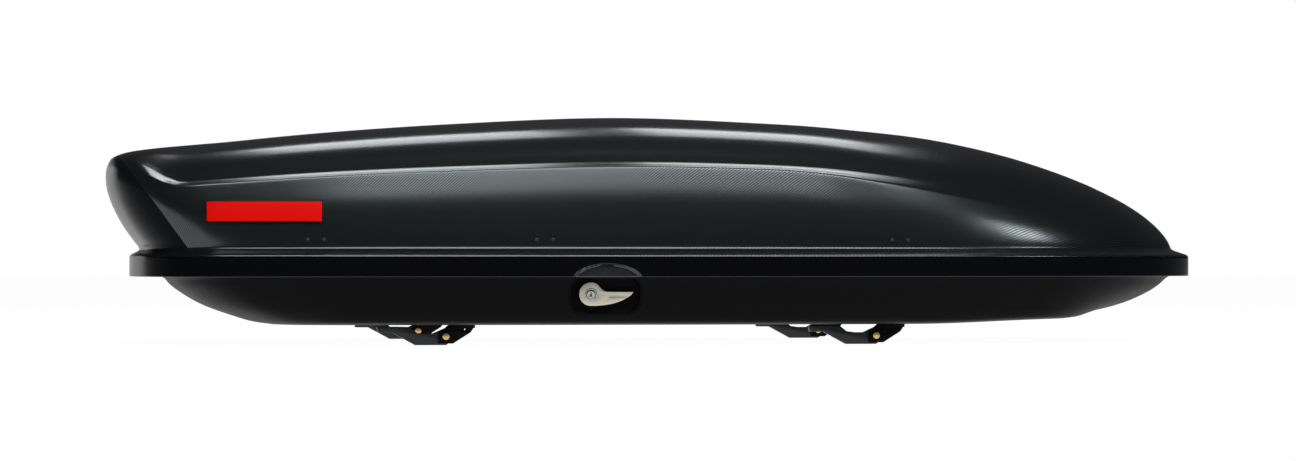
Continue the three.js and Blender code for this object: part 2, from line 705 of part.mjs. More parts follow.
// A thin plate that follows the wall.
function wallPlate(margin, from, to) {
  const halfLength = BADGE.length / 2 - margin;
  const halfHeight = BADGE.height / 2 - margin;
  const columns = [];
  for (let i = 0; i <= 8; i += 1) {
    const x = BADGE.x + halfLength * (i / 4 - 1);
    const low = wallPointAt(x, BADGE.z - halfHeight);
    const high = wallPointAt(x, BADGE.z + halfHeight);
    const corners = [low.clone(), low.clone(), high.clone(), high.clone()];
    corners.forEach((corner, k) => corner.setY(corner.y + (k === 1 || k === 2 ? to : from)));
    columns.push(corners);
  }
  return loft(columns);
}

// A closed body through four-cornered sections.
function loft(columns) {
  const faces = [[0, 2, 1], [0, 3, 2]];
  const last = (columns.length - 1) * 4;
  faces.push([last, last + 1, last + 2], [last, last + 2, last + 3]);
  for (let i = 0; i + 1 < columns.length; i += 1) {
    for (let k = 0; k < 4; k += 1) {
      const [a, b] = [i * 4 + k, i * 4 + ((k + 1) % 4)];
      faces.push([a, b, a + 4], [b, b + 4, a + 4]);
    }
  }
  const geometry = new THREE.BufferGeometry();
  const positions = columns.flat().flatMap((point) => [point.x, point.y, point.z]);
  geometry.setAttribute('position', new THREE.Float32BufferAttribute(positions, 3));
  geometry.setIndex(faces.flat());
  return geometry;
}

function buildBadge() {
  addPair('badge_plate_SIDE', wallPlate(0, 1.8, 4.2), finish.soft);
  addPair('badge_inlay_SIDE', wallPlate(BADGE.frame, 4.5, 6), finish.red);
}

buildShells();
for (const [name, x] of Object.entries(BOW_X)) {
  buildBow(name, x);
  buildHousing(name, x);
}
buildShaft();
buildLever();
buildCup();
buildClamps();
buildRails();
buildBadge();

export default box;
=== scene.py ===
"""Looks of the roof cargo box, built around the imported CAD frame. Metres, +Z up, nose towards +X."""

import json
import math

import bmesh
import bpy
import numpy as np
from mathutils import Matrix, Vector

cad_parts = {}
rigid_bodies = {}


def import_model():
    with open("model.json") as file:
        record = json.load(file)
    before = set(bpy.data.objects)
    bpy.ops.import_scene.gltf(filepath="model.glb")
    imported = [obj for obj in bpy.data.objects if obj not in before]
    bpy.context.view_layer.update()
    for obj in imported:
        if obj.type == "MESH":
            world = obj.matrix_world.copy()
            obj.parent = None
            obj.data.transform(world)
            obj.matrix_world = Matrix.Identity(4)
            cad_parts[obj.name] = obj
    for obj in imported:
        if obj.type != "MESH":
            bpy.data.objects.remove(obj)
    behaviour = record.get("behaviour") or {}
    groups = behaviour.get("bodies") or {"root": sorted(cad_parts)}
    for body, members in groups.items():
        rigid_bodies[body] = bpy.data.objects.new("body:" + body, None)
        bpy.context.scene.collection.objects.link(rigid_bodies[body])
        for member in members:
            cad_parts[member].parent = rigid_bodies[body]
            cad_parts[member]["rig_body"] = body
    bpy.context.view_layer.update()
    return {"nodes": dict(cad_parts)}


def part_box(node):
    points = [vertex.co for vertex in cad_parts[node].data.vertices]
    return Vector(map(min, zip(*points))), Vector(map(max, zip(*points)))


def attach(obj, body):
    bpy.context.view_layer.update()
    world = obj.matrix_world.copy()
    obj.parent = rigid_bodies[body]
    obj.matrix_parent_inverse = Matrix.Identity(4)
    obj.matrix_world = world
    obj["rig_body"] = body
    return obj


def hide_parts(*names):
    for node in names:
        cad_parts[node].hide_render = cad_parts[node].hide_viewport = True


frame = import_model()

# ---------- sizes of the two shells, in millimetres, as in the CAD part ----------
MM = 0.001
WALL = 3.5
RIM_PLAN = [
    (-986, 0), (-977, 150), (-952, 290), (-893, 378), (-790, 414), (-560, 440), (-200, 456), (60, 456),
    (330, 441), (560, 410), (750, 359), (900, 282), (990, 180), (1021, 85), (1028.5, 0),
]
CREST = [
    (-1030, 339), (-825, 365), (-600, 393), (-380, 410), (-86, 422), (210, 412), (357, 401), (505, 384),
    (653, 353), (801, 310), (875, 288), (1000, 256),
]
SKIRT_BOTTOM, SKIRT_TOP, FOOT_Z = 124.0, 163.0, 174.0
# Rows of the lid from its foot to its middle: reach, share of the crest at the sides and at the tail.
LID_REACH = [1, .989, .969, .931, .885, .86, .82, .77, .7, .55, .3, 0]
LID_SIDE = [0, .15, .36, .604, .626, .67, .76, .845, .905, .952, .988, 1]
LID_TAIL = [0, .3, .64, .86, .955, .972, .985, .992, .996, 1, 1, 1]
CREASE_ROW, CROWN_ROW = 3, 10
# Where the finer rings above the crease stand, counted in those rows.
UPPER_ROWS = (
    3.4, 3.65, 3.9, 4.15, 4.4, 4.65, 4.9, 5.15, 5.4, 5.7, 6, 6.3, 6.65, 7, 7.35, 7.7, 8, 8.3, 8.6,
    9, 9.4, 9.8, 10.2, 10.6, 10.85, 11,
)
# Rows of the base from under its rim to the floor: height, inset at the sides, tail and nose.
BASE_Z = [130, 122, 108, 92, 72, 54, 41, 37]
BASE_SIDE = [20, 24, 31, 38, 46, 54, 66, 92]
BASE_TAIL = [20, 62, 76, 98, 133, 180, 226, 262]
BASE_NOSE = [20, 40, 56, 80, 118, 172, 240, 300]
FLOOR_Z = 37.0
# Where the spine stops following the stations, and how much further it goes.
SPINE_REAR, SPINE_NOSE = (-500, 250), (400, 300)
FLANGE_WIDTH, NOSE_FLANGE_EXTRA = 21, 12
NOSE_ROUNDING = {"power": 3.8, "root": 2 / 3}
TAIL_OVERHANG = {"reach": 81, "power": 1.9}
# Where one shape passes into the next along the box, from and to.
CREASE_FADE, TAIL_FADE, OVERHANG_FADE = (150, 760), (-850, -960), (-430, -960)
NOSE_FLANGE_FADE, TURN_TO_NOSE, BASE_TAIL_FADE = (700, 1000), (0.15, 0.9), (-480, -960)
FLOOR_LIFT = {"height": 8, "fade": (436, 740), "reach": 60}
FLOOR_MIDDLE_REAR = -600
# The base's rim: the insets of its two edges, its height, and where its outer corner's rounding ends.
RIM_INNER, RIM_OUTER, RIM_TOP, RIM_EDGE = 32, 20, 136, 134.8
# How deep the skirt's lower lip and its upper edge are rounded.
LIP, EDGE = 0.8, 4
# Where the lid's rounded corners start and end: shares of the flange, then rows from the foot.
EDGE_END, FOOT_START = 0.2, 0.74
FOOT_END, CREASE_START, CREASE_END = 0.14, 2.92, 3.16
WALL_RINGS = 16
BASE_NODES = ("base_tail", "base_rear", "base_bay", "base_front", "base_nose")
UNIFORM_STATIONS = 132
SKIRT_ROWS = 18
HULL_ROWS = np.concatenate([[0, 0.5, 0.85, 1], np.linspace(1, 7, 31)[1:]])
FLOOR_SHARES = (0.08, 0.3, 0.6, 0.85, 1)
# Stations stand this many times closer over a lever, and this far past its scoop.
STATION_CROWDING, SCOOP_MARGIN = 5.0, 14
SCOOP = {"x": -144.5, "half_length": 62.0, "foot": 119.0, "rise": 29.0, "top_depth": 8.0, "foot_depth": 1.5}
# A scoop only draws in the wall that stands further than this from the middle.
SIDE_Y = 300
# How far from a scoop's foot, as a share of its size, its wall starts and ends, and so does its weave.
SCOOP_WALL, SCOOP_WEAVE = (1.0, 0.84), (1.06, 1.0)
# The weave's colours are partly the twill's own two tones and partly painted sheen. Each tow is painted
# lightest along its middle and darker towards its sides, and the weft tows are painted dimmer than the warp,
# as if only the warp caught the light.
TOW = 1.55
TOW_DARK, TOW_LIGHT = (0.0018, 0.0022, 0.0026), (0.105, 0.125, 0.130)
TOW_SHEEN_FALLOFF, WEFT_SHEEN_SHARE, WEAVE_METALLIC, WEAVE_COAT = 3.2, 0.18, 0.9, 0.35
# The woven side ends where x + TRANSOM_SLANT * z falls below TRANSOM_END, in metres.
TRANSOM_SLANT, TRANSOM_END = 0.72, -0.762


# ---------- curves ----------
def spline(points, t):
    """A uniform Catmull-Rom curve through the points, at t from 0 to 1."""
    p = np.asarray(points, float)
    last = len(p) - 1
    place = np.clip(np.asarray(t, float), 0, 1) * last
    i = np.minimum(place.astype(int), last - 1)
    w = (place - i)[:, None]
    before, a, b = p[np.maximum(i - 1, 0)], p[i], p[i + 1]
    after = p[np.minimum(i + 2, last)]
    start, end = (b - before) / 2, (after - a) / 2
    cubic, square = 2 * a - 2 * b + start + end, 3 * b - 3 * a - 2 * start - end
    return cubic * w ** 3 + square * w ** 2 + start * w + a


def monotone(values, t):
    """A smooth curve through values at t = 0, 1, 2 and on, with no overshoot."""
    y = np.asarray(values, float)
    step = np.diff(y)
    slope = np.zeros(len(y))
    inner = step[:-1] * step[1:] > 0
    slope[1:-1][inner] = 2 * step[:-1][inner] * step[1:][inner] / (step[:-1] + step[1:])[inner]
    slope[0], slope[-1] = step[0], step[-1]
    t = np.asarray(t, float)
    i = np.clip(t.astype(int), 0, len(y) - 2)
    w = t - i
    a, b, m, n = y[i], y[i + 1], slope[i], slope[i + 1]
    return (2 * a - 2 * b + m + n) * w ** 3 + (3 * b - 3 * a - 2 * m - n) * w ** 2 + m * w + a


def ease(start, end, value):
    share = np.clip((np.asarray(value, float) - start) / (end - start), 0, 1)
    return share * share * (3 - 2 * share)


def mix(a, b, share):
    return a + (b - a) * share


def bezier(a, corner, b, steps):
    """Rounds a corner of a section: rings between a and b that lean towards the corner."""
    shares = np.linspace(0, 1, steps + 1)
    return [(1 - s) ** 2 * a + 2 * s * (1 - s) * corner + s ** 2 * b for s in shares]


def rim_loop():
    """The rim's outer edge all around, as stations in order, with more of them at the two levers."""
    points = np.array(RIM_PLAN, float)
    mirrored = points[1:-1][::-1] * [1, -1]
    loop = np.vstack([mirrored[-2:], points, mirrored[:2]])
    span = len(loop) - 1
    t = np.linspace(2 / span, (2 + len(points) - 1) / span, 6000)
    dense = spline(loop, t)
    length = np.concatenate([[0], np.cumsum(np.linalg.norm(np.diff(dense, axis=0), axis=1))])
    near = np.abs(dense[:, 0] - SCOOP["x"]) < SCOOP["half_length"] + SCOOP_MARGIN
    weight = np.gradient(length) * np.where(near, STATION_CROWDING, 1.0)
    place = np.concatenate([[0], np.cumsum(weight[1:])])
    wanted = np.linspace(0, place[-1], UNIFORM_STATIONS + 1)
    left = np.stack([np.interp(wanted, place, dense[:, k]) for k in (0, 1)], axis=1)
    left[0, 1] = left[-1, 1] = 0
    return np.vstack([left, left[1:-1][::-1] * [1, -1]])


class Stations:
    """Where each section of the shells stands: rim point, spine point and the way inwards."""

    def __init__(self, rim):
        x = rim[:, 0]
        (rear, rear_reach), (front, front_reach) = SPINE_REAR, SPINE_NOSE
        spine = np.where(x < rear, rear - rear_reach * np.tanh((rear - x) / rear_reach), x)
        spine = np.where(x > front, front + front_reach * np.tanh((x - front) / front_reach), spine)
        self.rim = rim
        self.spine = np.stack([spine, np.zeros(len(x))], axis=1)
        way = self.spine - rim
        self.inward = way / np.linalg.norm(way, axis=1, keepdims=True)
        flange = FLANGE_WIDTH + NOSE_FLANGE_EXTRA * ease(*NOSE_FLANGE_FADE, x)
        self.foot = rim + self.inward * flange[:, None]
        self.to_nose = ease(*TURN_TO_NOSE, -self.inward[:, 0])
        self.to_tail = ease(*BASE_TAIL_FADE, x)


stations = Stations(rim_loop())
crest_table = spline(CREST, np.linspace(0, 1, 3000))


def crest_height(x):
    return np.interp(x, crest_table[:, 0], crest_table[:, 1])


def ring(plan, z):
    return np.column_stack([plan, np.broadcast_to(z, len(plan))])


def inset_ring(inset, z):
    return ring(stations.rim + stations.inward * np.broadcast_to(inset, len(stations.rim))[:, None], z)


def lid_ring(t):
    """One ring of the lid's outer surface; t counts the rows from the foot."""
    if t <= CREASE_ROW:
        reach = monotone(LID_REACH[:CREASE_ROW + 1], [t])[0]
        side = monotone(LID_SIDE[:CREASE_ROW + 1], [t])[0]
    else:
        reach = monotone(LID_REACH[CREASE_ROW:], [t - CREASE_ROW])[0]
        side = monotone(LID_SIDE[CREASE_ROW:], [t - CREASE_ROW])[0]
        if t > CROWN_ROW:
            side = 1 - (1 - LID_SIDE[CROWN_ROW]) * (reach / LID_REACH[CROWN_ROW]) ** 2
    tail = monotone(LID_TAIL, [t])[0]
    nose = (1 - min(reach, 1) ** NOSE_ROUNDING["power"]) ** NOSE_ROUNDING["root"]
    plan = mix(stations.spine, stations.foot, reach)
    foot_x = stations.foot[:, 0]
    share = mix(mix(side, nose, ease(*CREASE_FADE, foot_x)), tail, ease(*TAIL_FADE, foot_x))
    z = FOOT_Z + (crest_height(plan[:, 0]) - FOOT_Z) * share
    bulge = 1 - (1 - share) ** TAIL_OVERHANG["power"]
    lean = TAIL_OVERHANG["reach"] * ease(*OVERHANG_FADE, plan[:, 0]) * bulge
    return ring(plan - np.column_stack([lean, np.zeros(len(lean))]), z)


def floor_lift(x, z):
    share = np.clip(1 - (z - FLOOR_Z) / FLOOR_LIFT["reach"], 0, 1)
    return FLOOR_LIFT["height"] * ease(*FLOOR_LIFT["fade"], x) * share


def base_ring(t):
    """One ring of the base's outer surface; t counts the rows down from under the rim."""
    z, side, tail, nose = (monotone(row, [t])[0] for row in (BASE_Z, BASE_SIDE, BASE_TAIL, BASE_NOSE))
    points = inset_ring(mix(side, nose, stations.to_nose), z)
    points[:, 0] += (tail - side) * stations.to_tail
    points[:, 2] += floor_lift(points[:, 0], z)
    return points


def grid_normals(rings):
    """Outward normals of a grid of rings that close on themselves."""
    around = np.roll(rings, -1, axis=1) - np.roll(rings, 1, axis=1)
    across = np.gradient(rings, axis=0)
    normals = np.cross(across, around)
    size = np.linalg.norm(normals, axis=2, keepdims=True)
    return np.where(size > 1e-6, normals / np.maximum(size, 1e-6), [0, 0, 1])


# ---------- meshes ----------
def new_object(name, mesh, looks):
    for look in looks:
        mesh.materials.append(look)
    made = bpy.data.objects.new(name, mesh)
    bpy.context.scene.collection.objects.link(made)
    return made


def soften(mesh, angle=35):
    mesh.shade_smooth()
    mesh.set_sharp_from_angle(angle=math.radians(angle))


def ring_mesh(name, rings, looks, indices=None, uv_of=None, open_row=None, angle=60):
    """A mesh through rings, the last of which joins the first. indices gives each row's material.
    No patch follows open_row, where a skin folds onto its own middle line."""
    rows, count = rings.shape[:2]
    points = rings.reshape(-1, 3) * MM
    i = np.arange(count)
    j = np.roll(i, -1)
    faces, marks = [], []
    for r in range(rows):
        if r == open_row:
            continue
        low, high = r * count, ((r + 1) % rows) * count
        faces.append(np.stack([low + j, low + i, high + i, high + j], axis=1))
        marks.append(np.full(count, indices[r] if indices else 0))
    faces = np.concatenate(faces)
    mesh = bpy.data.meshes.new(name)
    mesh.from_pydata(points.tolist(), [], faces.tolist())
    mesh.polygons.foreach_set("material_index", np.concatenate(marks).astype(np.int32))
    if uv_of is not None:
        uv = uv_of(rings.reshape(-1, 3))
        layer = mesh.uv_layers.new(name="weave")
        loops = np.zeros(len(mesh.loops), np.int32)
        mesh.loops.foreach_get("vertex_index", loops)
        layer.data.foreach_set("uv", uv[loops].astype(np.float32).ravel())
    work = bmesh.new()
    work.from_mesh(mesh)
    bmesh.ops.remove_doubles(work, verts=work.verts, dist=2e-6)
    bmesh.ops.dissolve_degenerate(work, dist=1e-6, edges=work.edges)
    bmesh.ops.recalc_face_normals(work, faces=work.faces)
    work.to_mesh(mesh)
    work.free()
    soften(mesh, angle)
    return new_object(name, mesh, looks)


def applied(obj, **modifiers):
    """Applies modifiers, given by type with their settings, to the object's mesh."""
    for kind, settings in modifiers.items():
        added = obj.modifiers.new(kind, kind.upper())
        for key, value in settings.items():
            setattr(added, key, value)
    bpy.context.view_layer.update()
    graph = bpy.context.evaluated_depsgraph_get()
    mesh = bpy.data.meshes.new_from_object(obj.evaluated_get(graph))
    obj.modifiers.clear()
    old, obj.data = obj.data, mesh
    bpy.data.meshes.remove(old)


def refined(node, slot, width, segments=2, dissolve=1.0):
    """A copy of a CAD node with rounded edges, which stands for it and rides on its body."""
    source = frame["nodes"][node]
    work = bmesh.new()
    work.from_mesh(source.data)
    bmesh.ops.remove_doubles(work, verts=work.verts, dist=1e-5)
    bmesh.ops.dissolve_limit(
        work, angle_limit=math.radians(dissolve), verts=work.verts, edges=work.edges
    )
    mesh = bpy.data.meshes.new(node + "_fine")
    work.to_mesh(mesh)
    work.free()
    mesh.materials.clear()
    made = new_object(node + "_fine", mesh, [looks[slot]])
    mesh.polygons.foreach_set("material_index", np.zeros(len(mesh.polygons), np.int32))
    bevel = {"width": width, "segments": segments, "limit_method": "ANGLE", "angle_limit": math.radians(35)}
    applied(made, bevel=bevel)
    soften(made.data, 40)
    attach(made, source["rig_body"])
    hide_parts(node)


def lathe(name, profile, centre, axis, look, sides=40):
    """A turned piece from (radius, height) pairs, in metres, about an axis through centre."""
    work = bmesh.new()
    rings = []
    for radius, height in profile:
        row = []
        for k in range(sides if radius > 0 else 1):
            a = 2 * math.pi * k / sides
            row.append(work.verts.new((radius * math.cos(a), radius * math.sin(a), height)))
        rings.append(row)
    for low, high in zip(rings, rings[1:]):
        for k in range(sides):
            n = k + 1
            quad = [low[k % len(low)], low[n % len(low)], high[n % len(high)], high[k % len(high)]]
            distinct = list(dict.fromkeys(quad))
            if len(distinct) > 2:
                work.faces.new(distinct)
    bmesh.ops.recalc_face_normals(work, faces=work.faces)
    mesh = bpy.data.meshes.new(name)
    work.to_mesh(mesh)
    work.free()
    soften(mesh, 40)
    made = new_object(name, mesh, [look])
    made.rotation_mode = "QUATERNION"
    made.rotation_quaternion = Vector(axis).to_track_quat("Z", "Y")
    made.location = centre
    return made


# ---------- materials ----------
def noise_in(look, scale, detail):
    """A noise over the surface, in the material's own node tree."""
    nodes, links = look.node_tree.nodes, look.node_tree.links
    place = nodes.new("ShaderNodeTexCoord")
    noise = nodes.new("ShaderNodeTexNoise")
    noise.inputs["Scale"].default_value = scale
    noise.inputs["Detail"].default_value = detail
    links.new(place.outputs["Object"], noise.inputs["Vector"])
    return noise.outputs["Fac"]


def shader(name, color, roughness, metallic=0.0, **settings):
    """A principled material whose roughness varies slightly over the surface."""
    look = bpy.data.materials.new(name)
    look.use_nodes = True
    nodes, links = look.node_tree.nodes, look.node_tree.links
    main = nodes["Principled BSDF"]
    main.inputs["Base Color"].default_value = (*color, 1)
    main.inputs["Metallic"].default_value = metallic
    for key, value in settings.items():
        main.inputs[key.replace("_", " ")].default_value = value
    spread = nodes.new("ShaderNodeMapRange")
    spread.inputs["To Min"].default_value = roughness * 0.85
    spread.inputs["To Max"].default_value = min(1, roughness * 1.15)
    links.new(noise_in(look, 60, 3), spread.inputs["Value"])
    links.new(spread.outputs["Result"], main.inputs["Roughness"])
    return look


def grain(look, scale, depth):
    """Adds a fine moulded grain to a material."""
    nodes, links = look.node_tree.nodes, look.node_tree.links
    bump = nodes.new("ShaderNodeBump")
    bump.inputs["Distance"].default_value = depth
    links.new(noise_in(look, scale, 2), bump.inputs["Height"])
    links.new(bump.outputs["Normal"], nodes["Principled BSDF"].inputs["Normal"])
    return look


class Maths:
    """Short names for the arithmetic nodes of one material."""

    def __init__(self, look):
        self.nodes, self.links = look.node_tree.nodes, look.node_tree.links

    def __call__(self, operation, first, second=None):
        node = self.nodes.new("ShaderNodeMath")
        node.operation = operation
        for socket, value in zip(node.inputs, (first, second)):
            if isinstance(value, (int, float)):
                socket.default_value = value
            elif value is not None:
                self.links.new(value, socket)
        return node.outputs[0]

    def blend(self, share, start, end):
        node = self.nodes.new("ShaderNodeMix")
        node.data_type = "RGBA"
        self.links.new(share, node.inputs[0])
        ends = (s for s in node.inputs if s.enabled and s.name in ("A", "B"))
        for socket, value in zip(ends, (start, end)):
            if isinstance(value, tuple):
                socket.default_value = (*value, 1)
            else:
                self.links.new(value, socket)
        return next(s for s in node.outputs if s.enabled)

    def step(self, value, start, end):
        """0 up to start and 1 from end on."""
        node = self.nodes.new("ShaderNodeMapRange")
        self.links.new(value, node.inputs["Value"])
        node.inputs["From Min"].default_value = start
        node.inputs["From Max"].default_value = end
        return node.outputs["Result"]


def ahead_of_transom(maths, x, z):
    """1 ahead of the slanting line where the woven side ends and the plain tail begins."""
    place = maths("ADD", x, maths("MULTIPLY", z, TRANSOM_SLANT))
    return maths.step(place, TRANSOM_END, TRANSOM_END + 0.001)


def within_scoop(maths, x, z):
    """1 inside the arched scoop over a lever."""
    along = maths("DIVIDE", maths("SUBTRACT", x, SCOOP["x"] * MM), SCOOP["half_length"] * MM)
    up = maths("DIVIDE", maths("SUBTRACT", z, SCOOP["foot"] * MM), SCOOP["rise"] * MM)
    away = maths("ADD", maths("MULTIPLY", along, along), maths("MULTIPLY", up, up))
    return maths.step(away, *SCOOP_WEAVE)


def weave_material(name, plain_color, woven_where):
    """Two-over-two twill of fine tows under a clear gloss coat, plain black elsewhere.
    The UV map counts tows."""
    look = shader(name, plain_color, 0.22, Specular_IOR_Level=0.015, Coat_Roughness=0.16)
    maths = Maths(look)
    nodes, links = look.node_tree.nodes, look.node_tree.links
    uv = nodes.new("ShaderNodeUVMap")
    uv.uv_map = "weave"
    split = nodes.new("ShaderNodeSeparateXYZ")
    links.new(uv.outputs["UV"], split.inputs[0])
    u, v = split.outputs[0], split.outputs[1]
    cell = maths("ADD", maths("FLOOR", u), maths("FLOOR", v))
    warp_up = maths("LESS_THAN", maths("FLOORED_MODULO", cell, 4), 1.5)

    # Painted sheen across a tow: lightest along its middle, darker towards its sides.
    def painted_tow_sheen(value):
        inside = maths("SUBTRACT", maths("FRACT", value), 0.5)
        return maths("SUBTRACT", 1, maths("MULTIPLY", maths("MULTIPLY", inside, inside), TOW_SHEEN_FALLOFF))

    # Painted sheen on the warp tows, and a dimmer painted sheen on the weft tows, summed as the share of the
    # light tone.
    warp = maths("MULTIPLY", painted_tow_sheen(u), warp_up)
    weft = maths("MULTIPLY", painted_tow_sheen(v), maths("SUBTRACT", 1, warp_up))
    height = maths("ADD", warp, maths("MULTIPLY", weft, WEFT_SHEEN_SHARE))
    woven = maths.blend(height, TOW_DARK, TOW_LIGHT)
    place = nodes.new("ShaderNodeTexCoord")
    where = nodes.new("ShaderNodeSeparateXYZ")
    links.new(place.outputs["Object"], where.inputs[0])
    share = woven_where(maths, where.outputs[0], where.outputs[2])
    main = nodes["Principled BSDF"]
    links.new(maths.blend(share, plain_color, woven), main.inputs["Base Color"])
    links.new(maths("MULTIPLY", share, WEAVE_METALLIC), main.inputs["Metallic"])
    links.new(maths("MULTIPLY", share, WEAVE_COAT), main.inputs["Coat Weight"])
    return look


# The looks, under the names of the record's material slots where they stand for a slot.
looks = {
    "weave": weave_material("lid_weave", (0.006, 0.0066, 0.0078), ahead_of_transom),
    "skirt": weave_material("lid_skirt", (0.0024, 0.0026, 0.0036), within_scoop),
    "inner": grain(shader("lid_inner", (0.022, 0.022, 0.024), 0.6), 1400, 0.00006),
    "base_plastic": grain(
        shader("base_plastic", (0.0014, 0.0015, 0.0019), 0.5, Specular_IOR_Level=0.07), 1800, 0.00005
    ),
    "seal_rubber": shader("seal_rubber", (0.012, 0.012, 0.012), 0.85),
    "lever_metal": shader("lever_metal", (0.66, 0.63, 0.52), 0.34, 0.5),
    "lock_chrome": shader("lock_chrome", (0.42, 0.42, 0.4), 0.25, 1.0),
    "pin_steel": shader("pin_steel", (0.55, 0.56, 0.57), 0.32, 1.0),
    "dark_steel": shader("dark_steel", (0.02, 0.021, 0.023), 0.42, 0.4),
    "bow_aluminium": shader("bow_aluminium", (0.12, 0.125, 0.13), 0.45, 0.8),
    "rivet_brass": shader("rivet_brass", (0.75, 0.5, 0.2), 0.3, 1.0),
    "badge_black": shader("badge_black", (0.006, 0.006, 0.007), 0.4, Specular_IOR_Level=0.12),
    "badge_red": shader("badge_red", (0.66, 0.004, 0.002), 0.5, Specular_IOR_Level=0.04),
    "knob_plastic": grain(shader("knob_plastic", (0.3, 0.012, 0.014), 0.45), 1200, 0.00008),
}


# ---------- lid shell ----------
def weave_uv(points):
    """Counts tows along the box and down over its sides."""
    drop = crest_height(points[:, 0]) - points[:, 2]
    across = np.abs(points[:, 1]) + drop
    return np.column_stack([points[:, 0], across]) / TOW


def from_scoop(x, z):
    """0 at the middle of the foot of the arched scoop over a lever, 1 on its edge."""
    along, up = (x - SCOOP["x"]) / SCOOP["half_length"], (z - SCOOP["foot"]) / SCOOP["rise"]
    return along ** 2 + up ** 2


def scooped(rings):
    """Draws the skirt in over each lever: an arch with a crisp upper edge."""
    x, z = rings[..., 0], rings[..., 2]
    height = np.clip((z - SCOOP["foot"]) / SCOOP["rise"], 0, 1)
    depth = mix(SCOOP["foot_depth"], SCOOP["top_depth"], height) * ease(*SCOOP_WALL, from_scoop(x, z))
    on_skirt = (z < SKIRT_TOP - 6) & (np.abs(rings[..., 1]) > SIDE_Y)
    moved = rings.copy()
    moved[..., 1] -= np.sign(rings[..., 1]) * np.where(on_skirt, depth, 0)
    return moved


def lid_outer_rings():
    skirt = [inset_ring(0, z) for z in np.linspace(SKIRT_BOTTOM + LIP, SKIRT_TOP - EDGE, SKIRT_ROWS)]
    top_edge = inset_ring(0, SKIRT_TOP)
    foot = lid_ring(0)
    edge_end, foot_start = mix(top_edge, foot, EDGE_END), mix(top_edge, foot, FOOT_START)
    foot_end = lid_ring(FOOT_END)
    crease_start, crease, crease_end = (lid_ring(t) for t in (CREASE_START, CREASE_ROW, CREASE_END))
    wall = [lid_ring(t) for t in np.linspace(FOOT_END, CREASE_START, WALL_RINGS)[1:-1]]
    upper = [lid_ring(t) for t in UPPER_ROWS]
    rings = skirt + bezier(skirt[-1], top_edge, edge_end, 5)[1:]
    rings += bezier(foot_start, foot, foot_end, 6) + wall
    rings += bezier(crease_start, crease, crease_end, 5) + upper
    return np.array(rings)


def build_lid():
    outer = scooped(lid_outer_rings())
    inner = outer - grid_normals(outer) * WALL
    lip = [mix(outer[0], inner[0], s) - [0, 0, LIP] for s in (0.25, 0.75)]
    rings = np.concatenate([outer, inner[::-1], [lip[1], lip[0]]])
    rows = len(outer)
    coats = [looks["weave"], looks["skirt"], looks["inner"]]
    indices = [1] * SKIRT_ROWS + [0] * (rows - 1 - SKIRT_ROWS) + [2] * (len(rings) - rows + 1)
    made = ring_mesh("lid_shell_fine", rings, coats, indices, weave_uv, open_row=rows - 1)
    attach(made, "lid")
    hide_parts("lid_shell")
    return outer


lid_surface = build_lid()


def on_wall(x, z, side):
    """The point of the lid's wall at a place along the box and a height, and its normal."""
    points, normals = lid_surface, grid_normals(lid_surface)
    gap = np.abs(points[..., 0] - x) + np.abs(points[..., 2] - z)
    gap = np.where(points[..., 1] * side > 0, gap, np.inf)
    row, k = np.unravel_index(np.argmin(gap), gap.shape)
    point, normal = points[row, k].copy(), normals[row, k]
    point[1] -= ((x - point[0]) * normal[0] + (z - point[2]) * normal[2]) / normal[1]
    point[0], point[2] = x, z
    return Vector(point * MM), Vector(normal)


# ---------- base shell ----------
POCKET_GAP, POCKET_CORNER, POCKET_FROM, POCKET_TO = 0.0003, 0.030, 0.385, 0.47


def prism(name, outline, y_from, y_to):
    """A solid from an outline in (x, z), in metres, between two values of y."""
    work = bmesh.new()
    near = [work.verts.new((x, y_from, z)) for x, z in outline]
    far = [work.verts.new((x, y_to, z)) for x, z in outline]
    work.faces.new(near)
    work.faces.new(far[::-1])
    for k in range(len(outline)):
        n = (k + 1) % len(outline)
        work.faces.new([near[k], near[n], far[n], far[k]])
    bmesh.ops.recalc_face_normals(work, faces=work.faces)
    mesh = bpy.data.meshes.new(name)
    work.to_mesh(mesh)
    work.free()
    return new_object(name, mesh, [])


def rounded_outline(low_x, high_x, low_z, high_z, corner, steps=12):
    points = []
    for cx, cz, start in (
        (high_x - corner, high_z - corner, 0), (low_x + corner, high_z - corner, 90),
        (low_x + corner, low_z + corner, 180), (high_x - corner, low_z + corner, 270),
    ):
        for k in range(steps + 1):
            a = math.radians(start + 90 * k / steps)
            points.append((cx + corner * math.cos(a), cz + corner * math.sin(a)))
    return points


